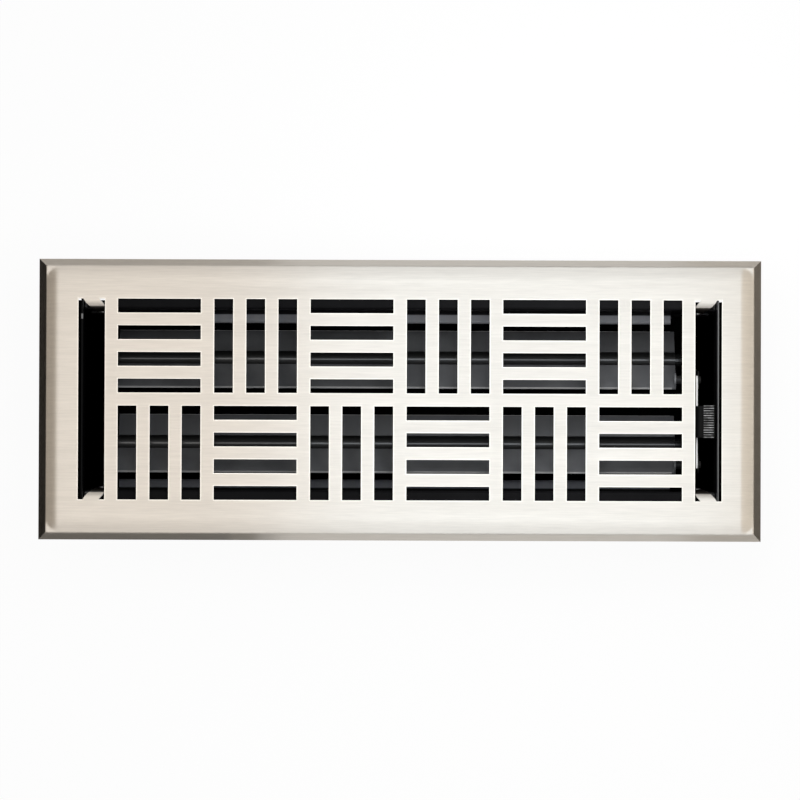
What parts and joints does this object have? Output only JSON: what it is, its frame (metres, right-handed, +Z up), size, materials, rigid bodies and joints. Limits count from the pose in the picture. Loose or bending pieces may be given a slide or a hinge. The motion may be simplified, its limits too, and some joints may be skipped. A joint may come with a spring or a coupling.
{
  "type": "floor register",
  "caption": "Rectangular steel floor register: basketweave grille plate, sheet-metal damper box below and linked blades that a thumb lever in the end slot opens and closes.",
  "frame": {"origin": "middle of the damper box's bottom rim", "axes": "+X along the length towards the thumb lever, +Y across, +Z up to the face"},
  "size_m": [0.343, 0.1334, 0.054],
  "materials": {
    "nickel": "satin nickel plate, brushed along the length",
    "black_paint": "semi-gloss black enamel",
    "blade_paint": "semi-gloss black enamel",
    "bright_steel": "bright zinc plate",
    "dark_steel": "blackened steel",
    "grip_plastic": "moulded black plastic, satin"
  },
  "bodies": {
    "frame": {"faceplate": "nickel", "side_wall_rear": "black_paint", "side_wall_front": "black_paint", "end_wall_left": "black_paint", "end_wall_right": "black_paint", "bracket_left": "black_paint", "bracket_right": "black_paint", "tab_rivets": "bright_steel"},
    "lever": {"link_bar": "black_paint", "thumb_grip": "grip_plastic"},
    "rear_blade": {"blade_rear": "blade_paint", "rod_rear": "bright_steel", "rod_clips_rear": "bright_steel", "crank_pin_rear": "dark_steel", "crank_clip_rear": "dark_steel"},
    "front_blade": {"blade_front": "blade_paint", "rod_front": "bright_steel", "rod_clips_front": "bright_steel", "crank_pin_front": "dark_steel", "crank_clip_front": "dark_steel"}
  },
  "joints": [
    {"name": "rear_blade_hinge", "type": "hinge", "parent": "frame", "child": "rear_blade", "pos_m": [0, 0.02015, 0.027], "axis": [1, 0, 0], "range_deg": [-40.7, 43.3]},
    {"name": "front_blade_hinge", "type": "hinge", "parent": "frame", "child": "front_blade", "pos_m": [0, -0.02015, 0.027], "axis": [1, 0, 0], "range_deg": [-40.7, 43.3]},
    {"name": "lever_pivot", "type": "hinge", "parent": "rear_blade", "child": "lever", "pos_m": [0.141, 0.01036, 0.04233], "axis": [1, 0, 0], "range_deg": [-43.3, 40.7]}
  ],
  "couplings": [
    {"joint": "front_blade_hinge", "follows": "rear_blade_hinge", "ratio": 1},
    {"joint": "lever_pivot", "follows": "rear_blade_hinge", "ratio": -1}
  ]
}
